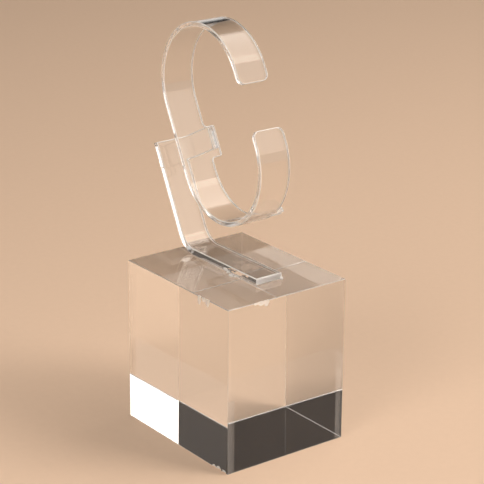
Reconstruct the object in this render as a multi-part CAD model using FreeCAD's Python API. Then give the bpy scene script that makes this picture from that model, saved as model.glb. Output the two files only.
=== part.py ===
import FreeCAD, Part
import math
import os

from FreeCAD import Vector

# A small counter display stand, all in clear acrylic: a heavy polished block, a bent strip bracket
# cemented on top of it, and a C-shaped collar that leans back on the bracket's arm.
#
# Sizes are in millimetres. X runs across the stand, Y from the front to the back and Z upwards.
# The origin is the middle of the block's underside.

# Block
block_width = 50.0
block_depth = 59.0
block_height = 60.0
block_arris = 0.4

# Bracket: one strip of sheet, bent twice
strip_width = 11.0
strip_thickness = 2.5
strip_side_shift = 1.5
foot_setback = 12.5
foot_length = 36.0
heel_radius = 8.5
upright_lean = 27.0
upright_length = 33.0
arm_height = 8.3
arm_bend_radius = 0.9

# Collar: one strip of sheet, bent into an open ring
collar_width = 12.5
collar_thickness = 1.7
collar_end_radius = 23.0
collar_straight = 25.2
collar_standoff = 14.8
collar_drop = 2.35
collar_gap = 16.0
collar_tip_radius = 2.5

# Side tab of the collar, seated on the arm's end
tab_height = 11.3
tab_root_radius = 1.3
tab_corner_radius = 0.8

# Stop lug of the collar
lug_width = 3.4
lug_reach = 3.75
lug_angle = 12.0
lug_root_radius = 0.7
lug_corner_radius = 1.2

# Room that a cutting shape leaves past what it cuts
cut_margin = 5.0


def strip_frame():
    """Return the top front corner line of the upright as a point, with the up and forward directions."""
    lean = math.radians(upright_lean)
    along = Vector(0, math.sin(lean), math.cos(lean))
    forward = Vector(0, -math.cos(lean), math.sin(lean))
    return bracket_corner() + along * (heel_tangent() + upright_length), along, forward


def heel_turn():
    """Return the angle that the sheet turns through at the heel, in radians."""
    return math.radians(90.0 - upright_lean)


def heel_tangent():
    """Return how far the heel's inner bend reaches along the foot and the upright from their corner."""
    return heel_radius * math.tan(heel_turn() / 2)


def bracket_corner():
    """Return where the foot's top face and the upright's front face would meet without a bend."""
    heel_start = foot_front() + foot_length
    return Vector(0, heel_start + heel_tangent(), block_height + strip_thickness)


def foot_front():
    """Return the Y of the foot's front end."""
    return -block_depth / 2 + foot_setback


def strip_far_edge():
    """Return the X of the strip's far edge, the one that the arm leaves."""
    return strip_side_shift + strip_width / 2


def arm_outer_face():
    """Return the X of the arm's outer face, which the collar's side tab is flush with."""
    return strip_far_edge() + arm_bend_radius + strip_thickness


def bent_outline(start, corner, end, inner_radius, thickness, outward):
    """Return the closed outline of a sheet that runs from start to corner to end with a round bend.

    The three points lie on the inner side of the bend, and outward points from the first run to
    the sheet's other face.
    """
    first = (corner - start).normalize()
    second = (end - corner).normalize()
    turn = first.getAngle(second)
    reach = inner_radius * math.tan(turn / 2)
    bend_in = corner - first * reach
    bend_out = corner + second * reach
    outward_end = FreeCAD.Rotation(first, second).multVec(outward)
    centre = bend_in - outward * inner_radius
    middle = (bend_in + bend_out) * 0.5 - centre
    middle.normalize()
    outer_radius = inner_radius + thickness
    edges = [
        Part.LineSegment(start, bend_in).toShape(),
        Part.Arc(bend_in, centre + middle * inner_radius, bend_out).toShape(),
        Part.LineSegment(bend_out, end).toShape(),
        Part.LineSegment(end, end + outward_end * thickness).toShape(),
        Part.LineSegment(end + outward_end * thickness, bend_out + outward_end * thickness).toShape(),
        Part.Arc(
            bend_out + outward_end * thickness,
            centre + middle * outer_radius,
            bend_in + outward * thickness,
        ).toShape(),
        Part.LineSegment(bend_in + outward * thickness, start + outward * thickness).toShape(),
        Part.LineSegment(start + outward * thickness, start).toShape(),
    ]
    return Part.Wire(edges)


def make_block():
    """Return the base: one solid cut block with every edge broken by a small flat."""
    block = Part.makeBox(
        block_width, block_depth, block_height, Vector(-block_width / 2, -block_depth / 2, 0)
    )
    return block.makeChamfer(block_arris, block.Edges)


def make_bracket():
    """Return the bent strip: foot, heel and upright from one outline, and the arm at the top."""
    top, along, forward = strip_frame()
    near_side = Vector(strip_far_edge() - strip_width, 0, 0)
    foot_start = Vector(0, foot_front(), block_height + strip_thickness)
    side = bent_outline(
        foot_start, bracket_corner(), top, heel_radius, strip_thickness, Vector(0, 0, -1)
    )
    side.translate(near_side)
    strip = Part.Face(side).extrude(Vector(strip_width, 0, 0))

    # The arm leaves the upright's far edge and turns forward to the collar
    inner_face = arm_outer_face() - strip_thickness
    inside = top + Vector(strip_far_edge() - strip_thickness, 0, 0)
    corner = top + Vector(inner_face, 0, 0)
    tip = corner + forward * collar_standoff
    section = bent_outline(inside, corner, tip, arm_bend_radius, strip_thickness, forward * -1)
    arm = Part.Face(section).extrude(along * -arm_height)
    return strip.fuse(arm).removeSplitter()


def collar_centre():
    """Return the middle of the collar's ring."""
    top, along, forward = strip_frame()
    reach = collar_standoff + collar_end_radius
    return top + forward * reach - along * collar_drop


def ring_outline(radius):
    """Return the collar's outline at one radius: two straight sides and two round ends."""
    _, along, forward = strip_frame()
    upper = collar_centre() + along * (collar_straight / 2)
    lower = collar_centre() - along * (collar_straight / 2)
    side = forward * radius
    return Part.Wire([
        Part.LineSegment(lower - side, upper - side).toShape(),
        Part.Arc(upper - side, upper + along * radius, upper + side).toShape(),
        Part.LineSegment(upper + side, lower + side).toShape(),
        Part.Arc(lower + side, lower - along * radius, lower - side).toShape(),
    ])


def tongue(root, tangent, normal, half_width, reach, root_radius, corner_radius):
    """Return the cutting shape of a tongue that stands out of the collar's far edge along X.

    The outline lies in the plane of X and tangent around root, a point on the sheet's outer face,
    with hollow rounds at the root and round corners at the tip. It is as deep as the sheet, with
    room to spare both ways along normal.
    """
    across = Vector(1, 0, 0)
    diagonal = math.sqrt(0.5)

    def at(x, t):
        return root + across * x + tangent * t

    edges = []
    for sign in (1, -1):
        foot = at(0, sign * (half_width + root_radius))
        neck = at(root_radius, sign * half_width)
        hollow = at(
            root_radius * (1 - diagonal), sign * (half_width + root_radius * (1 - diagonal))
        )
        shoulder = at(reach - corner_radius, sign * half_width)
        bulge = at(
            reach - corner_radius * (1 - diagonal), sign * (half_width - corner_radius * (1 - diagonal))
        )
        tip = at(reach, sign * (half_width - corner_radius))
        edges += [
            Part.LineSegment(at(-cut_margin, sign * (half_width + root_radius)), foot).toShape(),
            Part.Arc(foot, hollow, neck).toShape(),
            Part.LineSegment(neck, shoulder).toShape(),
            Part.Arc(shoulder, bulge, tip).toShape(),
        ]
    edges.append(
        Part.LineSegment(
            at(reach, half_width - corner_radius), at(reach, -half_width + corner_radius)
        ).toShape()
    )
    edges.append(
        Part.LineSegment(
            at(-cut_margin, half_width + root_radius), at(-cut_margin, -half_width - root_radius)
        ).toShape()
    )
    outline = Part.Wire(Part.__sortEdges__(edges))
    outline.translate(normal * cut_margin)
    return Part.Face(outline).extrude(normal * -(2 * cut_margin))


def make_collar():
    """Return the collar: an open ring of sheet with a side tab and a stop lug in its far edge."""
    top, along, forward = strip_frame()
    across = Vector(1, 0, 0)
    far_edge = collar_width / 2
    widest = max(arm_outer_face(), far_edge + lug_reach) + cut_margin

    def sheet(width):
        outer = Part.Face(ring_outline(collar_end_radius))
        inner = Part.Face(ring_outline(collar_end_radius - collar_thickness))
        ring = outer.cut(inner)
        ring.translate(across * -far_edge)
        return ring.extrude(across * width)

    band = sheet(collar_width)
    wide_sheet = sheet(far_edge + widest)

    tab_root = top + forward * collar_standoff + across * far_edge - along * (tab_height / 2)
    tab = tongue(
        tab_root,
        along,
        forward * -1,
        tab_height / 2,
        arm_outer_face() - far_edge,
        tab_root_radius,
        tab_corner_radius,
    )
    angle = math.radians(lug_angle)
    outward = forward * math.sin(angle) - along * math.cos(angle)
    lug_tangent = forward * math.cos(angle) + along * math.sin(angle)
    lower = collar_centre() - along * (collar_straight / 2)
    lug_root = lower + outward * collar_end_radius + across * far_edge
    lug = tongue(
        lug_root,
        lug_tangent,
        outward,
        lug_width / 2,
        lug_reach,
        lug_root_radius,
        lug_corner_radius,
    )
    ring = band.fuse([wide_sheet.common(tab), wide_sheet.common(lug)]).removeSplitter()

    # The gap at the front, which lets the ring be squeezed together
    gap_depth = collar_end_radius + cut_margin
    opening = Part.makeBox(collar_width + 2 * cut_margin, gap_depth, collar_gap)
    opening.translate(Vector(-far_edge - cut_margin, -gap_depth, -collar_gap / 2))
    opening.rotate(Vector(0, 0, 0), across, -upright_lean)
    opening.translate(collar_centre())
    collar = ring.cut(opening)
    return collar.makeFillet(collar_tip_radius, tip_corners(collar))


def tip_corners(collar):
    """Return the four edges through the sheet at the corners of the collar's two free ends."""
    _, along, forward = strip_frame()
    centre = collar_centre()
    corners = []
    for edge in collar.Edges:
        middle = edge.CenterOfMass - centre
        in_front = middle.dot(forward) > collar_end_radius / 2
        at_gap = abs(abs(middle.dot(along)) - collar_gap / 2) < collar_thickness / 2
        across_sheet = abs(edge.Length - collar_thickness) < collar_thickness / 2
        if in_front and at_gap and across_sheet:
            corners.append(edge)
    return corners


pieces = {
    "acrylic_block": make_block(),
    "bent_bracket": make_bracket(),
    "watch_collar": make_collar(),
}

os.makedirs("parts", exist_ok=True)
for name, shape in pieces.items():
    shape.exportStep(os.path.join("parts", name + ".step"))
    box = shape.BoundBox
    print(
        f"{name}: solids {len(shape.Solids)} valid {shape.isValid()} volume {shape.Volume:.0f} mm3, "
        f"X {box.XMin:.1f} to {box.XMax:.1f}, Y {box.YMin:.1f} to {box.YMax:.1f}, "
        f"Z {box.ZMin:.1f} to {box.ZMax:.1f}"
    )
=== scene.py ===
"""A clear acrylic counter display stand, dressed for its portrait.

The stand has three pieces: a polished block, a heat-bent strip bracket cemented on top of it, and an
open collar of clear sheet that leans back on the bracket's arm. Lengths are written in millimetres
and turned into metres where meshes are made.
"""

import logging
import math
from dataclasses import dataclass, field
from enum import Enum

import bmesh
import bpy
from mathutils import Matrix, Vector


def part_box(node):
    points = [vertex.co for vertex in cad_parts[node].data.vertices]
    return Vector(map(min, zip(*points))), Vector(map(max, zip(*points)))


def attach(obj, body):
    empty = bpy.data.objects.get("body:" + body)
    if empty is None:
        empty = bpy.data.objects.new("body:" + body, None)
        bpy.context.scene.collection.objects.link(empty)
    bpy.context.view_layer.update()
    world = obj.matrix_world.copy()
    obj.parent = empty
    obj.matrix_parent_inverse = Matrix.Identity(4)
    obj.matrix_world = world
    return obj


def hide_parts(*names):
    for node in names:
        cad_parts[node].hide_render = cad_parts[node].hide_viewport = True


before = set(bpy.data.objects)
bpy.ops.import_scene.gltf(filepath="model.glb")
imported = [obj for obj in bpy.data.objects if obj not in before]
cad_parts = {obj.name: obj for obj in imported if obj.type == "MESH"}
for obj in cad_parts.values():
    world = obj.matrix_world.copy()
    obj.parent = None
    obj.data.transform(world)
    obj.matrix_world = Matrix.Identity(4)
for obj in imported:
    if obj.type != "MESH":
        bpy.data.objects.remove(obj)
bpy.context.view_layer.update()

MM = 0.001
PHOTO_SIDE = 484
SENSOR_WIDTH = 36.0
ROOT_BODY = "root"
SURFACE_LAYER = "surface"

Pair = tuple[float, float]
Triple = tuple[float, float, float]
Tree = bpy.types.NodeTree
Socket = bpy.types.NodeSocket
Material = bpy.types.Material
Feeds = dict[str | int, object]

log = logging.getLogger("watch_stand")


class Surface(Enum):
    """The kinds of surface on an acrylic piece, by material index."""

    POLISHED = 0
    ARRIS = 1
    CUT = 2
    CEMENTED = 3
    CHIPPED = 4
    SAWN = 5


Finishes = dict[Surface, Material]


# Nodes


@dataclass(frozen=True)
class Graph:
    """A node tree that is being filled.

    Attributes:
        tree: The tree.
    """

    tree: Tree

    def feed(self, node: bpy.types.Node, feeds: Feeds) -> None:
        """Link sockets to a node's inputs, or set the inputs to plain values.

        Args:
            node: The node.
            feeds: Sockets or plain values, by the inputs' names or numbers.
        """
        for name, value in feeds.items():
            if isinstance(value, Socket):
                self.tree.links.new(value, node.inputs[name])
            else:
                node.inputs[name].default_value = value

    def add(self, kind: str, feeds: Feeds | None = None, **settings: object) -> bpy.types.Node:
        """Add a node, set its plain properties and feed its inputs.

        Args:
            kind: The node's type name.
            feeds: Sockets or plain values for its inputs, by their names or numbers.
            **settings: Property names and their values.

        Returns:
            The new node.
        """
        node = self.tree.nodes.new(kind)
        for name, value in settings.items():
            setattr(node, name, value)
        self.feed(node, feeds or {})
        return node

    def scalar(self, operation: str, *values: object) -> Socket:
        """Return the result of a math operation on sockets or numbers."""
        return self.add("ShaderNodeMath", dict(enumerate(values)), operation=operation).outputs[0]

    def vector(self, operation: str, *values: object) -> Socket:
        """Return the result of a vector operation: a number for a length, else a vector."""
        node = self.add("ShaderNodeVectorMath", dict(enumerate(values)), operation=operation)
        return node.outputs["Value" if operation == "LENGTH" else "Vector"]

    def noise(self, place: Socket, scale: object, detail: float = 2.0) -> Socket:
        """Return the value of a noise pattern at a place."""
        feeds = {"Vector": place, "Scale": scale, "Detail": detail}
        return self.add("ShaderNodeTexNoise", feeds).outputs["Fac"]

    def ramp(self, value: Socket, limits: Pair) -> Socket:
        """Return a smooth mask of a value, 0 at the first limit and 1 at the second."""
        feeds = {"Value": value, "From Min": limits[0], "From Max": limits[1]}
        return self.add("ShaderNodeMapRange", feeds, interpolation_type="SMOOTHSTEP").outputs["Result"]

    def mix(self, share: Socket, first: Triple, second: Triple) -> Socket:
        """Return a colour between two plain ones, the first where share is 0."""
        feeds = {"Factor": share, "A": (*first, 1.0), "B": (*second, 1.0)}
        return self.add("ShaderNodeMix", feeds, data_type="RGBA").outputs["Result"]

    def seen_ray(self) -> Socket:
        """Tell the rays that end up in the picture from those that only light it.

        Returns:
            A socket that is 1 for the camera's rays and for those that gloss and clear pieces send
            on, else 0.
        """
        path = self.add("ShaderNodeLightPath").outputs
        seen = self.scalar("ADD", path["Is Camera Ray"], path["Is Glossy Ray"])
        seen = self.scalar("ADD", seen, path["Is Transmission Ray"])
        return self.scalar("MINIMUM", seen, 1.0)


def new_group(name: str, kind: str, takes: dict[str, str], gives: dict[str, str]) -> Graph:
    """Start a node group.

    Args:
        name: The group's name.
        kind: The type name of its tree.
        takes: The names of its inputs and the kinds of their sockets.
        gives: The same for its outputs.

    Returns:
        The empty group.
    """
    tree = bpy.data.node_groups.new(name, kind)
    for in_out, sockets in (("INPUT", takes), ("OUTPUT", gives)):
        for socket, socket_kind in sockets.items():
            tree.interface.new_socket(socket, in_out=in_out, socket_type="NodeSocket" + socket_kind)
    return Graph(tree)


# Finishes


@dataclass(frozen=True)
class Polish:
    """The shared effect of a polished plastic surface: soft waviness and fine rubbing marks.

    Attributes:
        stretch: The scales of the marks' pattern, small along the way that they run.
        turn: How the pattern is turned, in radians.
        smears: The heights of the waves between which the marks fade in.
        lines: The values of the pattern between which a mark fades in.
    """

    stretch: Triple = (1.0, 1.0, 0.06)
    turn: Triple = (0.5, 0.3, 0.0)
    smears: Pair = (0.45, 0.75)
    lines: Pair = (0.6, 0.8)

    def group(self) -> Tree:
        """Build the effect.

        Returns:
            A shader node group with inputs Base Roughness, Haze, Wave Scale and Mark Scale, and
            outputs Roughness and Height.
        """
        takes = dict.fromkeys(("Base Roughness", "Haze", "Wave Scale", "Mark Scale"), "Float")
        gives = {"Roughness": "Float", "Height": "Float"}
        graph = new_group("polished_plastic", "ShaderNodeTree", takes, gives)
        inputs = graph.add("NodeGroupInput").outputs
        place = graph.add("ShaderNodeTexCoord").outputs["Object"]
        waves = graph.noise(place, inputs["Wave Scale"], 1.0)
        feeds = {"Vector": place, "Rotation": self.turn, "Scale": self.stretch}
        drawn_out = graph.add("ShaderNodeMapping", feeds).outputs["Vector"]
        marks = graph.noise(drawn_out, inputs["Mark Scale"])
        worn = graph.scalar("MULTIPLY", graph.ramp(waves, self.smears), graph.ramp(marks, self.lines))
        haze = graph.scalar("MULTIPLY", worn, inputs["Haze"])
        roughness = graph.scalar("ADD", haze, inputs["Base Roughness"])
        graph.add("NodeGroupOutput", {"Roughness": roughness, "Height": waves})
        return graph.tree


@dataclass(frozen=True)
class AcrylicFinish:
    """A clear acrylic surface.

    Attributes:
        name: The material's name.
        tint: The colour that a ray takes at each pass through the surface.
        clarity: The share of the light that passes through instead of scattering white.
        roughness: The least roughness of the surface.
        haze: How much roughness the rubbing marks add.
        wave_scale: How many soft waves of the surface there are in a metre.
        wave_height: How high the waves are, in millimetres.
        mark_scale: How many rubbing marks there are in a metre.
        index: The refractive index.
        shadow_pass: The share of the lamps' light that each surface lets through, since clear
            plastic throws only a light shadow.
    """

    name: str
    tint: Triple = (0.992, 0.994, 0.992)
    clarity: float = 1.0
    roughness: float = 0.0
    haze: float = 0.02
    wave_scale: float = 60.0
    wave_height: float = 0.0
    mark_scale: float = 900.0
    index: float = 1.49
    shadow_pass: float = 0.45

    def build(self, polish: Tree) -> Material:
        """Make the material.

        Args:
            polish: The shared effect of a polished plastic surface.

        Returns:
            The new material.
        """
        material = bpy.data.materials.new(self.name)
        material.use_nodes = True
        graph = Graph(material.node_tree)
        sizes = {"Wave Scale": self.wave_scale, "Mark Scale": self.mark_scale}
        feeds = {"Base Roughness": self.roughness, "Haze": self.haze, **sizes}
        effect = graph.add("ShaderNodeGroup", feeds, node_tree=polish).outputs
        shader = graph.tree.nodes["Principled BSDF"]
        feeds = {
            "Base Color": (*self.tint, 1.0),
            "Transmission Weight": self.clarity,
            "IOR": self.index,
            "Roughness": effect["Roughness"],
        }
        if self.wave_height > 0:
            waves = {"Distance": self.wave_height * MM, "Height": effect["Height"]}
            feeds["Normal"] = graph.add("ShaderNodeBump", waves).outputs["Normal"]
        graph.feed(shader, feeds)
        shadow_ray = graph.add("ShaderNodeLightPath").outputs["Is Shadow Ray"]
        passed = (self.shadow_pass, self.shadow_pass, self.shadow_pass, 1.0)
        passing = graph.add("ShaderNodeBsdfTransparent", {"Color": passed}).outputs[0]
        feeds = {"Fac": shadow_ray, 1: shader.outputs[0], 2: passing}
        either = graph.add("ShaderNodeMixShader", feeds).outputs[0]
        graph.feed(graph.tree.nodes["Material Output"], {"Surface": either})
        return material


@dataclass(frozen=True)
class CementedFinish:
    """Acrylic that clear cement holds in one patch, with an air film round the patch.

    Attributes:
        name: The material's name.
        middle: The patch's middle, in millimetres.
        halves: Half its size across and along, and a depth that reaches past the sheet.
        ragged_scale: How many bays and tongues its edge has in a metre.
        raggedness: How far they move the edge, as a share of half its size.
        edge: The reach, with the raggedness added, at which the patch starts and is whole.
        bubble_scale: How many bubbles there are in a metre.
        bubble_edge: The distances from a bubble's middle at which the cement starts and is whole.
    """

    name: str = "cemented_acrylic"
    middle: Triple = (1.4, -3.8, 60.0)
    halves: Triple = (4.4, 6.4, 1000.0)
    ragged_scale: float = 420.0
    raggedness: float = 3.0
    edge: Pair = (2.12, 2.06)
    bubble_scale: float = 900.0
    bubble_edge: Pair = (0.16, 0.2)

    def patch_group(self) -> Tree:
        """Build the patch's shape: an uneven oval with small bubbles in it.

        Returns:
            A shader node group with inputs Middle, Halves and Bubble Scale, and the output Mask.
        """
        takes = {"Middle": "Vector", "Halves": "Vector", "Bubble Scale": "Float"}
        graph = new_group("cement_patch", "ShaderNodeTree", takes, {"Mask": "Float"})
        inputs = graph.add("NodeGroupInput").outputs
        place = graph.add("ShaderNodeTexCoord").outputs["Object"]
        away = graph.vector("SUBTRACT", place, inputs["Middle"])
        reach = graph.vector("LENGTH", graph.vector("DIVIDE", away, inputs["Halves"]))
        ragged = graph.noise(place, self.ragged_scale)
        uneven = graph.scalar("MULTIPLY_ADD", ragged, self.raggedness, reach)
        feeds = {"Vector": place, "Scale": inputs["Bubble Scale"]}
        bubbles = graph.add("ShaderNodeTexVoronoi", feeds).outputs["Distance"]
        inside, solid = graph.ramp(uneven, self.edge), graph.ramp(bubbles, self.bubble_edge)
        graph.add("NodeGroupOutput", {"Mask": graph.scalar("MULTIPLY", inside, solid)})
        return graph.tree

    def build(self, material: Material) -> Material:
        """Make the material from a copy of the plain polished acrylic.

        Args:
            material: The plain polished acrylic.

        Returns:
            The new material.
        """
        cemented = material.copy()
        cemented.name = self.name
        graph = Graph(cemented.node_tree)
        sizes = {"Middle": Vector(self.middle) * MM, "Halves": Vector(self.halves) * MM}
        feeds = {**sizes, "Bubble Scale": self.bubble_scale}
        patch = graph.add("ShaderNodeGroup", feeds, node_tree=self.patch_group())
        open_air = graph.scalar("SUBTRACT", 1.0, patch.outputs["Mask"])
        graph.feed(graph.tree.nodes["Principled BSDF"], {"Alpha": open_air})
        return cemented


# Meshes and objects


def box_mm(node: str) -> tuple[Vector, Vector]:
    """Return a CAD node's low and high corners, in millimetres."""
    low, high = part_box(node)
    return Vector(low) / MM, Vector(high) / MM


def new_object(name: str, data: bpy.types.ID) -> bpy.types.Object:
    """Put a mesh, curve, light or camera in the scene.

    Args:
        name: The object's name.
        data: What it shows.

    Returns:
        The new object.
    """
    made = bpy.data.objects.new(name, data)
    bpy.context.scene.collection.objects.link(made)
    return made


def new_mesh(name: str, form: bmesh.types.BMesh) -> bpy.types.Mesh:
    """Turn a form into a mesh.

    Args:
        name: The mesh's name.
        form: The form, which is freed.

    Returns:
        The new mesh.
    """
    mesh = bpy.data.meshes.new(name)
    form.to_mesh(mesh)
    form.free()
    return mesh


def finish_piece(mesh: bpy.types.Mesh, name: str, node: str = "") -> None:
    """Put a finished mesh in the scene and parent it to the root body's empty.

    Args:
        mesh: The piece's mesh, in place and in metres.
        name: The piece's name.
        node: The CAD node that it stands for, if it stands for one.
    """
    piece = new_object(name, mesh)
    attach(piece, ROOT_BODY)
    if node:
        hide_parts(node)
    log.info("%s: %d faces", name, len(mesh.polygons))


def set_inputs(modifier: bpy.types.NodesModifier, values: dict[str, object]) -> None:
    """Set a geometry nodes modifier's inputs by their sockets' identifiers.

    Args:
        modifier: The modifier.
        values: The inputs' names and values.
    """
    for item in modifier.node_group.interface.items_tree:
        if item.in_out == "INPUT" and item.name in values:
            modifier[item.identifier] = values[item.name]


def shade(mesh: bpy.types.Mesh, sharp_angle: float) -> None:
    """Shade a mesh smooth, sharp where two kinds of surface meet and at corners outside the arrises.

    Args:
        mesh: The mesh to shade.
        sharp_angle: The least angle of a sharp edge, in degrees.
    """
    form = bmesh.new()
    form.from_mesh(mesh)
    form.normal_update()
    for face in form.faces:
        face.smooth = True
    for edge in form.edges:
        kinds = {face.material_index for face in edge.link_faces}
        corner = edge.calc_face_angle(0.0) > math.radians(sharp_angle)
        rounded = kinds <= {Surface.ARRIS.value} or kinds <= {Surface.CHIPPED.value}
        edge.smooth = rounded or (len(kinds) == 1 and not corner)
    form.to_mesh(mesh)
    form.free()


def corner_arc(centre: Pair, radius: float, start: float, turn: float = 90, steps: int = 8) -> list[Pair]:
    """Return the points of a round corner, both ends included.

    Args:
        centre: The arc's centre.
        radius: Its radius.
        start: The angle of the first point, in degrees.
        turn: How far it goes round, in degrees.
        steps: How many pieces the arc has.

    Returns:
        The points in order.
    """
    angles = [math.radians(start + turn * step / steps) for step in range(steps + 1)]
    return [(centre[0] + radius * math.cos(a), centre[1] + radius * math.sin(a)) for a in angles]


def bend_tree() -> Tree:
    """Build the geometry nodes that wrap a flat sheet along a path and dress its surfaces.

    The sheet lies flat: X runs across it, Y is the distance along the path and Z the height over
    its lower face. The tree keeps X, reads the path's place and direction at Y, and stands Z on
    the path's left side. The attribute SURFACE_LAYER says which finish each face takes.

    Returns:
        A geometry node tree with inputs Geometry, Path, Side Shift and Lift, and one material
        input for each kind of surface that a sheet has.
    """
    kinds = (Surface.POLISHED, Surface.ARRIS, Surface.CUT, Surface.SAWN, Surface.CEMENTED)
    takes = {"Geometry": "Geometry", "Path": "Object", "Side Shift": "Float", "Lift": "Float"}
    takes |= {kind.name: "Material" for kind in kinds}
    graph = new_group("bend_sheet", "GeometryNodeTree", takes, {"Geometry": "Geometry"})
    inputs = graph.add("NodeGroupInput").outputs
    position = graph.add("GeometryNodeInputPosition").outputs[0]
    flat = graph.add("ShaderNodeSeparateXYZ", {0: position}).outputs
    path = graph.add("GeometryNodeObjectInfo", {"Object": inputs["Path"]}, transform_space="ORIGINAL")
    feeds = {"Curves": path.outputs["Geometry"], "Length": flat["Y"]}
    sample = graph.add("GeometryNodeSampleCurve", feeds, mode="LENGTH", use_all_curves=True).outputs

    across = graph.add("ShaderNodeCombineXYZ", {"X": 1.0}).outputs[0]
    left = graph.vector("CROSS_PRODUCT", across, sample["Tangent"])
    feeds = {0: left, "Scale": graph.scalar("ADD", flat["Z"], inputs["Lift"])}
    rise = graph.add("ShaderNodeVectorMath", feeds, operation="SCALE").outputs[0]
    shifted = graph.scalar("ADD", flat["X"], inputs["Side Shift"])
    side = graph.add("ShaderNodeCombineXYZ", {"X": shifted}).outputs[0]
    place = graph.vector("ADD", graph.vector("ADD", sample["Position"], rise), side)

    feeds = {"Geometry": inputs["Geometry"], "Position": place}
    bent = graph.add("GeometryNodeSetPosition", feeds).outputs[0]
    dressed = graph.add("GeometryNodeRealizeInstances", {0: bent}).outputs[0]
    surface = graph.add("GeometryNodeInputNamedAttribute", {"Name": SURFACE_LAYER}, data_type="INT")
    for kind in kinds:
        feeds = {"Geometry": dressed, "Material": inputs[kind.name]}
        if kind is not Surface.POLISHED:
            same = graph.add("FunctionNodeCompare", data_type="INT", operation="EQUAL")
            whole = [socket for socket in same.inputs if socket.type == "INT"]
            graph.tree.links.new(surface.outputs["Attribute"], whole[0])
            whole[1].default_value = kind.value
            feeds["Selection"] = same.outputs[0]
        dressed = graph.add("GeometryNodeSetMaterial", feeds).outputs[0]
    graph.add("NodeGroupOutput", {"Geometry": dressed})
    return graph.tree


@dataclass
class SheetPath:
    """The line that a bent sheet follows, in the plane across the stand.

    Attributes:
        start: The Y and Z of its first point, in millimetres.
        heading: Its first direction, in degrees from +Y towards +Z.
        runs: Triples of a straight length, then the radius and the degrees of the turn after it.
        step: The angle between two points on a bend, in degrees.
    """

    start: Pair
    heading: float
    runs: list[Triple]
    step: float = 1.0

    def points(self) -> list[Vector]:
        """Walk the path's straights and bends.

        Returns:
            The path's points, in metres.
        """
        place = Vector((0.0, *self.start))
        heading = math.radians(self.heading)
        points = [place.copy()]
        for length, radius, degrees in self.runs:
            place = place + length * Vector((0.0, math.cos(heading), math.sin(heading)))
            points.append(place.copy())
            if degrees == 0:
                continue
            sign = math.copysign(1.0, degrees)
            left = Vector((0.0, -math.sin(heading), math.cos(heading)))
            centre = place + sign * radius * left
            steps = max(1, round(abs(degrees) / self.step))
            for index in range(1, steps + 1):
                turn = math.radians(degrees) * index / steps
                points.append(centre + Matrix.Rotation(turn, 3, "X") @ (place - centre))
            place = points[-1].copy()
            heading += math.radians(degrees)
        return [point * MM for point in points]

    def distances(self) -> list[float]:
        """Measure the path.

        Returns:
            How far along it each of its points is, in millimetres.
        """
        points = self.points()
        walked = [0.0]
        for first, second in zip(points, points[1:]):
            walked.append(walked[-1] + (second - first).length)
        return [distance / MM for distance in walked]

    def curve(self, name: str) -> bpy.types.Object:
        """Make the path as a curve object.

        Args:
            name: The curve's name.

        Returns:
            The new object, in the scene.
        """
        data = bpy.data.curves.new(name, "CURVE")
        data.dimensions = "3D"
        spline = data.splines.new("POLY")
        points = self.points()
        spline.points.add(len(points) - 1)
        for slot, point in zip(spline.points, points):
            slot.co = (*point, 1.0)
        return new_object(name, data)


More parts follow.
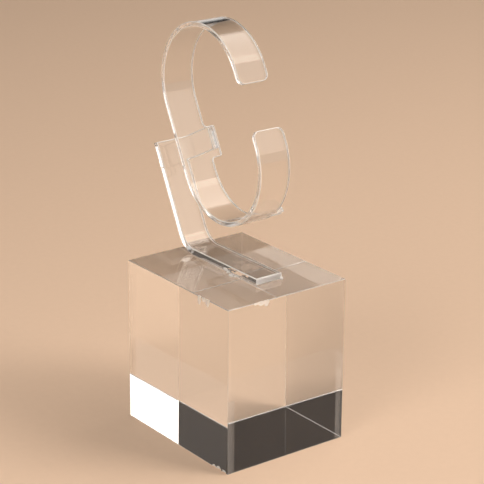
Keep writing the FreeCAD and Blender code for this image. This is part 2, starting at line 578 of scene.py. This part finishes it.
@dataclass
class SheetPiece:
    """A piece cut out of clear sheet and bent along a path.

    Attributes:
        name: The piece's name.
        node: The CAD node that it stands for.
        slot: The name of a material slot; not used.
        thickness: The sheet's thickness, in millimetres.
        arris: How far the cut edges are broken.
        arris_steps: How many faces round an arris has.
        film: The air film that the cement left, which the sheet is thinner by.
        edge_limit: The rise of a face's normal under which the face is part of the edge.
        end_limit: How far the normal of such a face points along the sheet where it is sawn.
        sharp_angle: The least angle of a sharp edge, in degrees.
    """

    name: str
    node: str
    slot: str
    thickness: float
    arris: float = 0.3
    arris_steps: int = 3
    film: float = 0.0
    edge_limit: float = 0.1
    end_limit: float = 0.9
    sharp_angle: float = 20.0

    def path(self) -> SheetPath:
        """Return the line that the sheet's upper face follows."""
        raise NotImplementedError

    def outline(self) -> list[Pair]:
        """Return the blank's outline as points across and along, in millimetres."""
        raise NotImplementedError

    def side_shift(self) -> float:
        """Return the X of the line that the outline is drawn around, in millimetres."""
        return 0.0

    def cross_cuts(self) -> list[float]:
        """Return where across the blank a second bend needs cuts, in millimetres."""
        return []

    def shape_flat(self, form: bmesh.types.BMesh) -> None:
        """Change the flat blank, form, before it is bent along its path."""

    def flat_blank(self) -> bpy.types.Mesh:
        """Cut the blank: a flat solid of the outline with broken edges and a cut at each bend mark.

        Returns:
            The blank's mesh, with each face's kind of surface in SURFACE_LAYER.
        """
        form = bmesh.new()
        form.faces.new([form.verts.new((x * MM, y * MM, 0.0)) for x, y in self.outline()])
        bmesh.ops.recalc_face_normals(form, faces=form.faces)
        raised = bmesh.ops.extrude_face_region(form, geom=list(form.faces), use_keep_orig=True)
        top = [item for item in raised["geom"] if isinstance(item, bmesh.types.BMVert)]
        bmesh.ops.translate(form, verts=top, vec=(0, 0, (self.thickness - self.film) * MM))
        bmesh.ops.recalc_face_normals(form, faces=form.faces)
        bmesh.ops.bevel(
            form,
            geom=[edge for edge in form.edges if edge.verts[0].co.z == edge.verts[1].co.z],
            offset=self.arris * MM,
            offset_type="OFFSET",
            segments=self.arris_steps,
            profile=0.5,
            affect="EDGES",
            material=Surface.ARRIS.value,
        )
        form.normal_update()
        for face in form.faces:
            if face.material_index == Surface.POLISHED.value and abs(face.normal.z) < self.edge_limit:
                lengthwise = abs(face.normal.y) < self.end_limit
                face.material_index = (Surface.CUT if lengthwise else Surface.SAWN).value
        cuts = [((0, mark * MM, 0), (0, 1, 0)) for mark in self.path().distances()[1:-1]]
        cuts += [((cut * MM, 0, 0), (1, 0, 0)) for cut in self.cross_cuts()]
        for place, across in cuts:
            parts = list(form.verts) + list(form.edges) + list(form.faces)
            bmesh.ops.bisect_plane(form, geom=parts, plane_co=place, plane_no=across)
        self.shape_flat(form)
        layer = form.faces.layers.int.new(SURFACE_LAYER)
        for face in form.faces:
            face[layer] = face.material_index
        return new_mesh(self.name + "_blank", form)

    def build(self, bend: Tree, finishes: Finishes) -> None:
        """Bend the blank along its path and dress it.

        Args:
            bend: The geometry nodes that wrap a sheet along a path.
            finishes: The finish of each kind of surface.
        """
        blank = new_object(self.name + "_blank", self.flat_blank())
        curve = self.path().curve(self.name + "_path")
        modifier = blank.modifiers.new("bend", "NODES")
        modifier.node_group = bend
        values = {kind.name: finish for kind, finish in finishes.items()}
        values["Path"] = curve
        values["Side Shift"] = self.side_shift() * MM
        values["Lift"] = (self.film - self.thickness) * MM
        set_inputs(modifier, values)
        graph = bpy.context.evaluated_depsgraph_get()
        mesh = bpy.data.meshes.new_from_object(blank.evaluated_get(graph))
        mesh.name = self.name
        mesh.attributes.remove(mesh.attributes[SURFACE_LAYER])
        bpy.data.objects.remove(blank)
        bpy.data.objects.remove(curve)
        shade(mesh, self.sharp_angle)
        finish_piece(mesh, self.name, self.node)


# The stand's pieces


@dataclass(frozen=True)
class Chip:
    """A shell-shaped flake missing from an edge of the block, on one of its upright faces.

    Attributes:
        axis: The axis that its face is square to, 0 for X and 1 for Y.
        place: Its middle, on the edge, in millimetres.
        reach: How far it goes along the edge from its middle.
        drop: How far it goes over the face from the edge.
        depth: How deep it goes.
        ripple: The height of the shell's ripples, as a share of the depth.
        ripple_turns: How fast they follow each other outwards and along the edge, in radians.
    """

    axis: int
    place: Triple
    reach: float
    drop: float
    depth: float
    ripple: float = 0.1
    ripple_turns: Pair = (16.0, 4.0)

    def dent(self, point: Vector) -> float:
        """Return how deep the flake's rippled shell is under a point of the face.

        Args:
            point: The point, in millimetres.

        Returns:
            The depth in millimetres, or 0 outside the flake.
        """
        along = (point[1 - self.axis] - self.place[1 - self.axis]) / self.reach
        down = (point.z - self.place[2]) / self.drop
        away = math.hypot(along, down)
        if away >= 1:
            return 0.0
        outward, sideways = self.ripple_turns
        ripple = 1 + self.ripple * math.sin(outward * away + sideways * along)
        return self.depth * math.sqrt(1 - away * away) * ripple


@dataclass
class Block:
    """The solid base block, sized by its CAD node.

    Attributes:
        rim: The width of the rounded arris along the top and bottom edges, in millimetres.
        rim_steps: How many faces round that arris has.
        corner: The width of the small flat along the upright edges.
        side_rows: The distances from the rim at which the sides are cut up for chips.
        top_rows: The distances in from the rim at which the top is cut up for them.
        spacing: The distance between two points along the rim.
        buffed: The parts of the front face's width that the polishing wheel left slightly milky.
        buffed_height: How far up the milky parts go.
        kept_depth: The share of its distance from the face that a point inside a flake keeps.
        sharp_angle: The least angle of a sharp edge, in degrees.
        chips: The flakes that are missing.
    """

    rim: float = 0.25
    rim_steps: int = 4
    corner: float = 0.04
    side_rows: tuple[float, ...] = (0.25, 0.5, 0.8, 1.1, 1.4, 1.8, 2.2, 2.7, 3.3)
    top_rows: tuple[float, ...] = (1.2, 0.8, 0.5, 0.25)
    spacing: float = 0.4
    buffed: tuple[Pair, ...] = ((-24.8, -22.3), (21.8, 23.8))
    buffed_height: float = 27.0
    kept_depth: float = 0.1
    sharp_angle: float = 0.5
    chips: tuple[Chip, ...] = (
        Chip(0, (-25.0, -21.8, 0.0), 0.9, 0.8, 0.5),
        Chip(0, (-25.0, -24.4, 0.0), 1.2, 1.1, 0.6),
        Chip(0, (-25.0, -27.6, 0.0), 1.0, 0.9, 0.5),
        Chip(0, (-25.0, -13.2, 60.0), 0.8, 2.8, 0.3),
        Chip(0, (-25.0, -15.6, 60.0), 0.9, 1.2, 0.25),
        Chip(0, (-25.0, -17.8, 60.0), 1.0, 2.2, 0.35),
        Chip(1, (-13.2, -29.5, 60.0), 1.1, 0.7, 0.2),
        Chip(1, (-11.2, -29.5, 60.0), 1.2, 1.2, 0.3),
        Chip(1, (-9.2, -29.5, 60.0), 1.0, 1.7, 0.4),
    )

    def levels(self, bottom: float, top: float) -> list[Pair]:
        """Stack the plans that the block is made of.

        Args:
            bottom: The height of the block's underside, in millimetres.
            top: The height of its top.

        Returns:
            The height of each plan and how far it is drawn in, from the underside to the top.
        """
        lower = [(0.0, self.rim + row) for row in self.top_rows]
        for step in range(self.rim_steps + 1):
            angle = math.pi / 2 * step / self.rim_steps
            lower.append((self.rim * (1 - math.cos(angle)), self.rim * (1 - math.sin(angle))))
        lower += [(self.rim + row, 0.0) for row in self.side_rows]
        levels = [(bottom + rise, inset) for rise, inset in lower]
        levels.append((bottom + self.buffed_height, 0.0))
        return levels + [(top - rise, inset) for rise, inset in reversed(lower)]

    def outline(self, inset: float, low: Vector, high: Vector) -> list[Pair]:
        """Return the block's plan at one height, as points in millimetres.

        Args:
            inset: How far the plan is drawn in from the block's sides.
            low: The block's low corner.
            high: Its high corner.

        Returns:
            The points, counterclockwise, the same number for each inset.
        """
        left, front = low.x + inset, low.y + inset
        right, back = high.x - inset, high.y - inset
        cut = self.corner
        sides = (
            ((left + cut, front), (right - cut, front)),
            ((right, front + cut), (right, back - cut)),
            ((right - cut, back), (left + cut, back)),
            ((left, back - cut), (left, front + cut)),
        )
        steps = round(max(high.x - low.x, high.y - low.y) / self.spacing)
        points = []
        for (x0, y0), (x1, y1) in sides:
            for step in range(steps + 1):
                share = step / steps
                points.append((x0 + (x1 - x0) * share, y0 + (y1 - y0) * share))
        return points

    def chipped(self, point: Vector) -> Vector:
        """Return a point of the block, pushed in where a flake is missing.

        Args:
            point: The point, in millimetres.

        Returns:
            The point's new place.
        """
        moved = point.copy()
        for chip in self.chips:
            face = chip.place[chip.axis]
            inset = abs(point[chip.axis] - face)
            dent = chip.dent(point)
            if inset < dent:
                moved[chip.axis] = face - math.copysign(dent + self.kept_depth * inset, face)
        return moved

    def surface(self, face: bmesh.types.BMFace, low: Vector) -> Surface:
        """Tell which kind of surface a flat, whole face of the block's side is.

        Args:
            face: The face.
            low: The block's low corner, in millimetres.

        Returns:
            The kind of surface.
        """
        middle = face.calc_center_median() / MM
        in_strip = any(start < middle.x < end for start, end in self.buffed)
        if in_strip and middle.y < low.y + self.corner and middle.z < self.buffed_height:
            return Surface.CUT
        return Surface.POLISHED

    def add_sides(self, form: bmesh.types.BMesh, low: Vector, high: Vector) -> list[bmesh.types.BMVert]:
        """Make the underside and the sides as a stack of plans, with the flakes missing.

        Args:
            form: The mesh to add to.
            low: The block's low corner, in millimetres.
            high: Its high corner.

        Returns:
            The points of the highest plan.
        """
        levels = self.levels(low.z, high.z)
        rings = []
        pushed = set()
        for height, inset in levels:
            ring = []
            for x, y in self.outline(inset, low, high):
                whole = Vector((x, y, height))
                point = self.chipped(whole)
                ring.append(form.verts.new(point * MM))
                if point != whole:
                    pushed.add(ring[-1])
            rings.append(ring)
        count = len(rings[0])
        for under, over, level, above in zip(rings, rings[1:], levels, levels[1:]):
            on_rim = level[0] != above[0] and level[1] != above[1]
            for index in range(count):
                after = (index + 1) % count
                face = form.faces.new((under[index], under[after], over[after], over[index]))
                kind = self.surface(face, low)
                if on_rim or after % (count // 4) == 0:
                    kind = Surface.ARRIS
                if not pushed.isdisjoint(face.verts):
                    kind = Surface.CHIPPED
                face.material_index = kind.value
        form.faces.new(rings[0][::-1])
        return rings[-1]

    def build(self, foot: tuple[Pair, ...], finishes: Finishes) -> None:
        """Make the block, with the cemented part of its top set apart.

        Args:
            foot: The corners of the bracket's flat underside, in millimetres.
            finishes: The finish of each kind of surface.
        """
        low, high = box_mm("acrylic_block")
        form = bmesh.new()
        rim = self.add_sides(form, low, high)
        seat = [form.verts.new((x * MM, y * MM, high.z * MM)) for x, y in foot]
        edges = [form.edges.get(ends) for ends in zip(rim, rim[1:] + rim[:1])]
        edges += [form.edges.new(ends) for ends in zip(seat, seat[1:] + seat[:1])]
        bmesh.ops.triangle_fill(form, edges=edges, use_beauty=True, normal=(0, 0, 1))
        form.faces.new(seat).material_index = Surface.CEMENTED.value
        bmesh.ops.recalc_face_normals(form, faces=form.faces)
        mesh = new_mesh("block", form)
        for kind in Surface:
            if kind in finishes:
                mesh.materials.append(finishes[kind])
        shade(mesh, self.sharp_angle)
        finish_piece(mesh, "block", "acrylic_block")


@dataclass
class CementBeads:
    """The small beads of cement that were squeezed out beside the foot.

    Attributes:
        beads: Each bead's middle and its half sizes, in millimetres.
        fineness: How often a bead's faces are halved.
        lump: The height of a bead's lumps, as a share of its size.
        lump_turns: How fast the lumps follow each other along X, Y and Z, in radians.
    """

    beads: tuple[tuple[Triple, Triple], ...] = (
        ((-4.2, 0.2, 60.9), (0.4, 1.3, 0.6)),
        ((-4.4, -1.6, 60.5), (0.55, 0.8, 0.5)),
        ((-5.1, -4.2, 60.15), (0.7, 1.2, 0.35)),
        ((-4.6, -5.8, 60.1), (0.45, 0.5, 0.25)),
        ((6.8, -17.25, 60.5), (0.5, 0.4, 0.6)),
    )
    fineness: int = 3
    lump: float = 0.12
    lump_turns: Triple = (5.0, 3.0, 4.0)

    def build(self, material: Material) -> None:
        """Make the beads as one piece.

        Args:
            material: The cement.
        """
        form = bmesh.new()
        for place, halves in self.beads:
            made = bmesh.ops.create_icosphere(form, subdivisions=self.fineness, radius=1.0)
            for vert in made["verts"]:
                x, y, z = (turn * value for turn, value in zip(self.lump_turns, vert.co))
                lump = 1 + self.lump * math.sin(x + y) * math.cos(z)
                local = Vector(vert.co[axis] * halves[axis] * lump for axis in range(3))
                vert.co = (Vector(place) + local) * MM
        mesh = new_mesh("cement_beads", form)
        mesh.materials.append(material)
        mesh.shade_smooth()
        finish_piece(mesh, "cement_beads")


@dataclass
class Bracket(SheetPiece):
    """The strip bracket: foot, heel, upright and the arm that turns forward at the top.

    Attributes:
        width: The strip's width, in millimetres.
        foot_length: How long the flat foot is.
        heel_radius: The inner radius of the bend between the foot and the upright.
        lean: How far the upright leans back, in degrees.
        arm_height: The arm's height along the upright.
        arm_radius: The inner radius of the arm's bend.
        arm_reach: How far the arm's end stands in front of the upright's front face.
        arm_steps: How many pieces the arm's bend has.
    """

    name: str = "bracket"
    node: str = "bent_bracket"
    slot: str = "bracket_acrylic"
    thickness: float = 2.5
    film: float = 0.03
    width: float = 11.0
    foot_length: float = 36.0
    heel_radius: float = 8.5
    lean: float = 27.0
    arm_height: float = 8.3
    arm_radius: float = 0.9
    arm_reach: float = 14.8
    arm_steps: int = 12

    def along(self) -> Vector:
        """Return the direction up the upright."""
        lean = math.radians(self.lean)
        return Vector((0.0, math.sin(lean), math.cos(lean)))

    def forward(self) -> Vector:
        """Return the direction out of the upright's front face."""
        lean = math.radians(self.lean)
        return Vector((0.0, -math.cos(lean), math.sin(lean)))

    def foot_top(self) -> float:
        """Return the Z of the foot's top face, in millimetres."""
        return box_mm("acrylic_block")[1].z + self.thickness

    def heel_tangent(self) -> float:
        """Return how far the heel's bend reaches along the foot and the upright."""
        return self.heel_radius * math.tan(math.radians(90.0 - self.lean) / 2)

    def upright_length(self) -> float:
        """Work out the upright from the CAD node's depth.

        Returns:
            The length of the upright over the heel, in millimetres.
        """
        low, high = box_mm(self.node)
        top_y = high.y - self.thickness * math.cos(math.radians(self.lean))
        heel_corner = low.y + self.foot_length + self.heel_tangent()
        return (top_y - heel_corner) / math.sin(math.radians(self.lean)) - self.heel_tangent()

    def top(self) -> Vector:
        """Find the upright's front top edge.

        Returns:
            Its point in the plane X = 0, in millimetres.
        """
        corner = Vector((0.0, box_mm(self.node)[0].y + self.foot_length, self.foot_top()))
        corner.y += self.heel_tangent()
        return corner + self.along() * (self.heel_tangent() + self.upright_length())

    def side_shift(self) -> float:
        """Return the X of the strip's middle, in millimetres."""
        return box_mm(self.node)[0].x + self.width / 2

    def path(self) -> SheetPath:
        """Follow the foot's top face, the heel and the upright's front face.

        Returns:
            The line.
        """
        start = (box_mm(self.node)[0].y, self.foot_top())
        heel = (self.foot_length, self.heel_radius, 90.0 - self.lean)
        return SheetPath(start, 0.0, [heel, (self.upright_length(), 0.0, 0.0)])

    def arm_quarter(self) -> float:
        """Return the length of the arm's bend along its inner side, in millimetres."""
        return self.arm_radius * math.pi / 2

    def outline(self) -> list[Pair]:
        """Draw the strip with the arm beside its far end, laid flat.

        Returns:
            The outline's points across and along, in millimetres.
        """
        half = self.width / 2
        end = self.path().distances()[-1]
        arm_start = end - self.arm_height
        arm_end = half + self.arm_quarter() + self.arm_reach - self.film - self.arm_radius
        strip = [(-half, 0.0), (half, 0.0)]
        return strip + [(half, arm_start), (arm_end, arm_start), (arm_end, end), (-half, end)]

    def cross_cuts(self) -> list[float]:
        """Return the cuts of the arm's bend."""
        steps = range(self.arm_steps + 1)
        return [self.width / 2 + self.arm_quarter() * step / self.arm_steps for step in steps]

    def shape_flat(self, form: bmesh.types.BMesh) -> None:
        """Mark the cemented underside and turn the arm up from the flat strip, round its own bend.

        Args:
            form: The flat blank.
        """
        for face in form.faces:
            on_foot = face.calc_center_median().y < self.foot_length * MM
            if face.material_index == Surface.POLISHED.value and face.normal.z < 0 and on_foot:
                face.material_index = Surface.CEMENTED.value
        edge = self.width / 2 * MM
        radius = self.arm_radius * MM
        upper = (self.thickness - self.film) * MM
        quarter = self.arm_quarter() * MM
        for vert in form.verts:
            reach = vert.co.x - edge
            if reach <= 0:
                continue
            depth = radius + upper - vert.co.z
            angle = min(reach / radius, math.pi / 2)
            vert.co.x = edge + depth * math.sin(angle)
            vert.co.z = upper + radius - depth * math.cos(angle) + max(0.0, reach - quarter)

    def underside(self) -> tuple[Pair, ...]:
        """Find the foot's flat underside.

        Returns:
            Its corners, counterclockwise, in millimetres.
        """
        low = box_mm(self.node)[0]
        near, far = low.x + self.arris, low.x + self.width - self.arris
        front, back = low.y + self.arris, low.y + self.foot_length
        return ((near, front), (far, front), (far, back), (near, back))


@dataclass
class Collar(SheetPiece):
    """The open ring of sheet in front of the bracket, with its side tab and stop lug.

    Attributes:
        bracket: The bracket whose arm carries it.
        end_radius: The outer radius of its two round ends, in millimetres.
        straight: The length of its two straight sides.
        drop: How far its middle is under the upright's top, along the upright.
        gap: The opening at the front.
        tip_radius: The radius of the corners of its two free ends.
        tab_height: The side tab's height.
        tab_radii: The radii at the tab's root and at its corners.
        lug_width: The stop lug's width.
        lug_reach: How far the lug stands out.
        lug_angle: How far in front of the lowest point the lug is, in degrees.
        lug_radii: The radii at the lug's root and at its corners.
    """

    name: str = "collar"
    node: str = "watch_collar"
    slot: str = "collar_acrylic"
    thickness: float = 1.7
    bracket: Bracket = field(default_factory=Bracket)
    end_radius: float = 23.0
    straight: float = 25.2
    drop: float = 2.35
    gap: float = 16.0
    tip_radius: float = 2.5
    tab_height: float = 11.3
    tab_radii: Pair = (1.3, 0.8)
    lug_width: float = 3.4
    lug_reach: float = 3.75
    lug_angle: float = 12.0
    lug_radii: Pair = (0.7, 1.2)

    def half_width(self) -> float:
        """Return half the sheet's width, in millimetres."""
        return -box_mm(self.node)[0].x

    def end_run(self) -> float:
        """Return the straight length between a free end and the first bend."""
        return (self.straight - self.gap) / 2

    def path(self) -> SheetPath:
        """Follow the outer face from the upper free end over the back to the lower one.

        Returns:
            The line.
        """
        along, forward = self.bracket.along(), self.bracket.forward()
        middle = self.bracket.top() + forward * (self.bracket.arm_reach + self.end_radius)
        start = middle - along * self.drop + forward * self.end_radius + along * (self.gap / 2)
        over = (self.end_run(), self.end_radius, -180.0)
        under = (self.straight, self.end_radius, -180.0)
        runs = [over, under, (self.end_run(), 0.0, 0.0)]
        return SheetPath((start.y, start.z), 90.0 - self.bracket.lean, runs, step=0.5)

    def outline(self) -> list[Pair]:
        """Draw the strip laid flat, with the tab and the lug in its far edge.

        Returns:
            The outline's points across and along, in millimetres.
        """
        half = self.half_width()
        end = self.path().distances()[-1]
        tip = self.tip_radius
        back_start = self.end_run() + math.pi * self.end_radius
        tab_start = back_start + self.straight / 2 - self.drop
        lug = back_start + self.straight + self.end_radius * math.radians(90.0 + self.lug_angle)
        tab_reach = box_mm(self.bracket.node)[1].x
        lug_start = lug - self.lug_width / 2
        points = corner_arc((tip - half, tip), tip, 180) + corner_arc((half - tip, tip), tip, 270)
        points += self.tongue(tab_start, self.tab_height, tab_reach, self.tab_radii)
        points += self.tongue(lug_start, self.lug_width, half + self.lug_reach, self.lug_radii)
        points += corner_arc((half - tip, end - tip), tip, 0)
        return points + corner_arc((tip - half, end - tip), tip, 90)

    def tongue(self, start: float, width: float, reach: float, radii: Pair) -> list[Pair]:
        """Return the outline of a tongue that stands out of the far edge.

        Args:
            start: The distance along the collar where it starts.
            width: Its width along the collar.
            reach: The X of its tip.
            radii: The radii of its root and of its tip's corners.

        Returns:
            The outline's points in order.
        """
        root, corner = radii
        far = self.half_width() + root
        end = start + width
        points = corner_arc((far, start - root), root, 180, turn=-90, steps=6)
        points += corner_arc((reach - corner, start + corner), corner, 270, steps=6)
        points += corner_arc((reach - corner, end - corner), corner, 0, steps=6)
        return points + corner_arc((far, end + root), root, 270, turn=-90, steps=6)


# Studio


@dataclass(frozen=True)
class Lamp:
    """A soft rectangular lamp that faces the stand.

    Attributes:
        name: The lamp's name.
        direction: Where it hangs, seen from the stand.
        distance: How far away, in metres.
        size: Its width and height, in metres.
        radiance: How bright its face is, where 1 is white.
        mirrored: Whether clear and shiny surfaces show its face.
    """

    name: str
    direction: Triple
    distance: float
    size: Pair
    radiance: float
    mirrored: bool = True

    def hang(self, colour: Triple, aim_height: float) -> None:
        """Hang the lamp.

        Args:
            colour: The colour of its light.
            aim_height: The height of the point that it faces, in metres.
        """
        data = bpy.data.lights.new(self.name, "AREA")
        data.shape = "RECTANGLE"
        data.size, data.size_y = self.size
        data.energy = self.radiance * math.pi * self.size[0] * self.size[1]
        data.color = colour
        lamp = new_object(self.name, data)
        away = Vector(self.direction).normalized()
        lamp.location = Vector((0, 0, aim_height)) + away * self.distance
        lamp.rotation_mode = "QUATERNION"
        lamp.rotation_quaternion = away.to_track_quat("Z", "Y")
        lamp.visible_camera = False
        lamp.visible_glossy = self.mirrored
        lamp.visible_transmission = self.mirrored


@dataclass(frozen=True)
class Studio:
    """The floor, the world and the lamps.

    Attributes:
        floor_colour: The pale colour of the floor.
        floor_roughness: How rough it is.
        floor_gloss: How strongly it mirrors.
        floor_radius: How far it reaches, in metres.
        floor_drop: How far it lies under the stand, in metres.
        floor_steps: How many corners its outline has.
        fibre_scale: How many of the paper's fibres there are in a metre.
        fibre_tone: How much lighter or darker they are.
        far_floor: The distances from the stand between which the floor starts to glow, in metres.
        far_glow: How bright the far floor's own glow is, which stands in for lamps further out.
        sky_colour: The pale colour of the room.
        dark_colour: The colour of the dark upper wall behind the stand.
        wall_foot: The rises of a ray between which the dark wall starts.
        wall_top: The rises between which it ends, the upper one first.
        wall_side: How far backwards a ray points where it starts.
        world_level: How bright the pale part of the world looks.
        light_level: How bright it is as a light.
        lamp_colour: The warm white of the lamps.
        aim_height: The height of the point that the lamps face, in metres.
        bounces: How often light is followed, since it bounces many times inside clear pieces.
        mirror_bounces: How often it is followed from surfaces that mirror it.
        lamps: The lamps round the stand.
    """

    floor_colour: Triple = (0.78, 0.59, 0.45)
    floor_roughness: float = 0.9
    floor_gloss: float = 0.1
    floor_radius: float = 6.0
    floor_drop: float = 0.0001
    floor_steps: int = 96
    fibre_scale: float = 350.0
    fibre_tone: float = 0.02
    far_floor: Pair = (0.8, 2.2)
    far_glow: float = 0.55
    sky_colour: Triple = (0.92, 0.88, 0.84)
    dark_colour: Triple = (0.006, 0.004, 0.004)
    wall_foot: Pair = (0.14, 0.22)
    wall_top: Pair = (0.80, 0.70)
    wall_side: Pair = (0.05, 0.25)
    world_level: float = 0.75
    light_level: float = 0.2
    lamp_colour: Triple = (1.0, 0.9, 0.8)
    aim_height: float = 0.07
    bounces: int = 40
    mirror_bounces: int = 32
    lamps: tuple[Lamp, ...] = (
        Lamp("front_softbox", (0.54, -0.735, 0.62), 1.5, (0.75, 1.15), 1.2),
        Lamp("overhead_softbox", (0.45, -0.1, 0.9), 1.6, (1.4, 1.4), 2.3),
        Lamp("key_lamp", (0.54, -0.735, 0.62), 0.9, (0.4, 0.4), 6.5, mirrored=False),
        Lamp("fill_lamp", (-0.85, -0.3, 0.4), 1.0, (0.5, 0.5), 6.0, mirrored=False),
    )

    def floor_paper(self) -> Material:
        """Make the floor's material: matt paper with faint fibres, glowing far from the stand.

        Returns:
            The new material.
        """
        material = bpy.data.materials.new("floor_paper")
        material.use_nodes = True
        graph = Graph(material.node_tree)
        place = graph.add("ShaderNodeTexCoord").outputs["Object"]
        fibres = graph.noise(place, self.fibre_scale)
        darker = tuple((1 - self.fibre_tone) * part for part in self.floor_colour)
        lighter = tuple((1 + self.fibre_tone) * part for part in self.floor_colour)
        far = graph.ramp(graph.vector("LENGTH", place), self.far_floor)
        glowing = graph.scalar("MULTIPLY", far, graph.seen_ray())
        feeds = {
            "Base Color": graph.mix(fibres, darker, lighter),
            "Roughness": self.floor_roughness,
            "Specular IOR Level": self.floor_gloss,
            "Emission Color": graph.mix(glowing, (0.0, 0.0, 0.0), self.floor_colour),
            "Emission Strength": self.far_glow,
        }
        graph.feed(graph.tree.nodes["Principled BSDF"], feeds)
        return material

    def floor(self) -> None:
        """Lay the floor just under the stand."""
        form = bmesh.new()
        drop = Matrix.Translation((0, 0, -self.floor_drop))
        sizes = {"segments": self.floor_steps, "radius": self.floor_radius}
        bmesh.ops.create_circle(form, cap_ends=True, matrix=drop, **sizes)
        mesh = new_mesh("floor", form)
        mesh.materials.append(self.floor_paper())
        new_object("floor", mesh)

    def world(self) -> None:
        """Make the room: pale all round, with a dark wall high up behind the stand."""
        world = bpy.data.worlds.new("studio")
        bpy.context.scene.world = world
        world.use_nodes = True
        graph = Graph(world.node_tree)
        direction = graph.add("ShaderNodeTexCoord").outputs["Generated"]
        axes = graph.add("ShaderNodeSeparateXYZ", {0: direction}).outputs
        above, below = graph.ramp(axes["Z"], self.wall_foot), graph.ramp(axes["Z"], self.wall_top)
        wall = graph.scalar("MULTIPLY", above, below)
        wall = graph.scalar("MULTIPLY", wall, graph.ramp(axes["Y"], self.wall_side))
        camera_ray = graph.add("ShaderNodeLightPath").outputs["Is Camera Ray"]
        wall = graph.scalar("MULTIPLY", wall, graph.scalar("SUBTRACT", 1.0, camera_ray))
        rise = graph.scalar("MULTIPLY", graph.seen_ray(), self.world_level - self.light_level)
        feeds = {
            "Color": graph.mix(wall, self.sky_colour, self.dark_colour),
            "Strength": graph.scalar("ADD", rise, self.light_level),
        }
        graph.feed(graph.tree.nodes["Background"], feeds)

    def build(self) -> None:
        """Set up floor, world, lamps and light paths."""
        self.floor()
        self.world()
        for lamp in self.lamps:
            lamp.hang(self.lamp_colour, self.aim_height)
        scene = bpy.context.scene
        scene.view_settings.view_transform = "Standard"
        scene.cycles.max_bounces = self.bounces
        scene.cycles.glossy_bounces = self.mirror_bounces
        scene.cycles.transmission_bounces = self.bounces


@dataclass(frozen=True)
class PhotoCamera:
    """The photograph's camera, fitted to the block's corners.

    Attributes:
        place: Where it stands, in millimetres.
        yaw: Its heading from +Y towards +X, in degrees.
        pitch: How far it looks down, in degrees.
        roll: Its turn round its own line of sight, in degrees.
        focal_pixels: Its focal length in pixels of the photograph.
        near: How close things may come to it, in millimetres.
    """

    place: Triple = (-370.67, -493.77, 293.60)
    yaw: float = 37.097
    pitch: float = 19.903
    roll: float = 0.425
    focal_pixels: float = 1901.7
    near: float = 10.0

    def build(self) -> None:
        """Set up the camera and make it the scene's own."""
        yaw, pitch, roll = (math.radians(v) for v in (self.yaw, self.pitch, self.roll))
        ahead = Vector(
            (math.sin(yaw) * math.cos(pitch), math.cos(yaw) * math.cos(pitch), -math.sin(pitch))
        )
        right = Vector((math.cos(yaw), -math.sin(yaw), 0.0))
        upward = right.cross(ahead)
        right, upward = (
            math.cos(roll) * right + math.sin(roll) * upward,
            -math.sin(roll) * right + math.cos(roll) * upward,
        )
        turn = Matrix((right, upward, -ahead)).transposed()
        data = bpy.data.cameras.new("camera")
        data.sensor_width = SENSOR_WIDTH
        data.lens = self.focal_pixels / PHOTO_SIDE * SENSOR_WIDTH
        data.clip_start = self.near * MM
        camera = new_object("camera", data)
        camera.matrix_world = Matrix.Translation(Vector(self.place) * MM) @ turn.to_4x4()
        bpy.context.scene.camera = camera


def main() -> None:
    """Build the stand, its finishes and the studio round it."""
    logging.basicConfig(level=logging.INFO, format="%(name)s %(message)s")
    polish = Polish().group()
    polished = AcrylicFinish("polished_acrylic").build(polish)
    sheet = AcrylicFinish("sheet_acrylic", haze=0.03, wave_height=0.0015).build(polish)
    arris = AcrylicFinish("arris_acrylic", clarity=0.35, roughness=0.15, haze=0.2).build(polish)
    rim = AcrylicFinish("rim_acrylic", clarity=0.7, roughness=0.12, haze=0.2).build(polish)
    buffed = AcrylicFinish("buffed_acrylic", clarity=0.9, roughness=0.04, haze=0.1).build(polish)
    cut = AcrylicFinish("cut_acrylic", clarity=0.92, roughness=0.08, haze=0.1).build(polish)
    routed = AcrylicFinish("routed_acrylic", clarity=0.86, roughness=0.16, haze=0.15).build(polish)
    sawn = AcrylicFinish("sawn_acrylic", clarity=0.88, roughness=0.3, haze=0.2).build(polish)
    chipped = AcrylicFinish("chipped_acrylic", clarity=0.5, roughness=0.3, haze=0.2).build(polish)
    beads = AcrylicFinish("cement_clear", clarity=0.3, roughness=0.15, haze=0.2).build(polish)
    cemented = CementedFinish().build(polished)
    block_finishes = {
        Surface.POLISHED: polished,
        Surface.ARRIS: rim,
        Surface.CUT: buffed,
        Surface.CEMENTED: cemented,
        Surface.CHIPPED: chipped,
    }
    sheet_finishes = {
        Surface.POLISHED: sheet,
        Surface.ARRIS: arris,
        Surface.CUT: cut,
        Surface.SAWN: sawn,
        Surface.CEMENTED: cemented,
    }
    collar_finishes = {**sheet_finishes, Surface.CUT: routed, Surface.CEMENTED: sheet}
    bend = bend_tree()
    bracket = Bracket()
    PhotoCamera().build()
    Block().build(bracket.underside(), block_finishes)
    bracket.build(bend, sheet_finishes)
    Collar(bracket=bracket).build(bend, collar_finishes)
    CementBeads().build(beads)
    Studio().build()


if __name__ == "__main__":
    main()
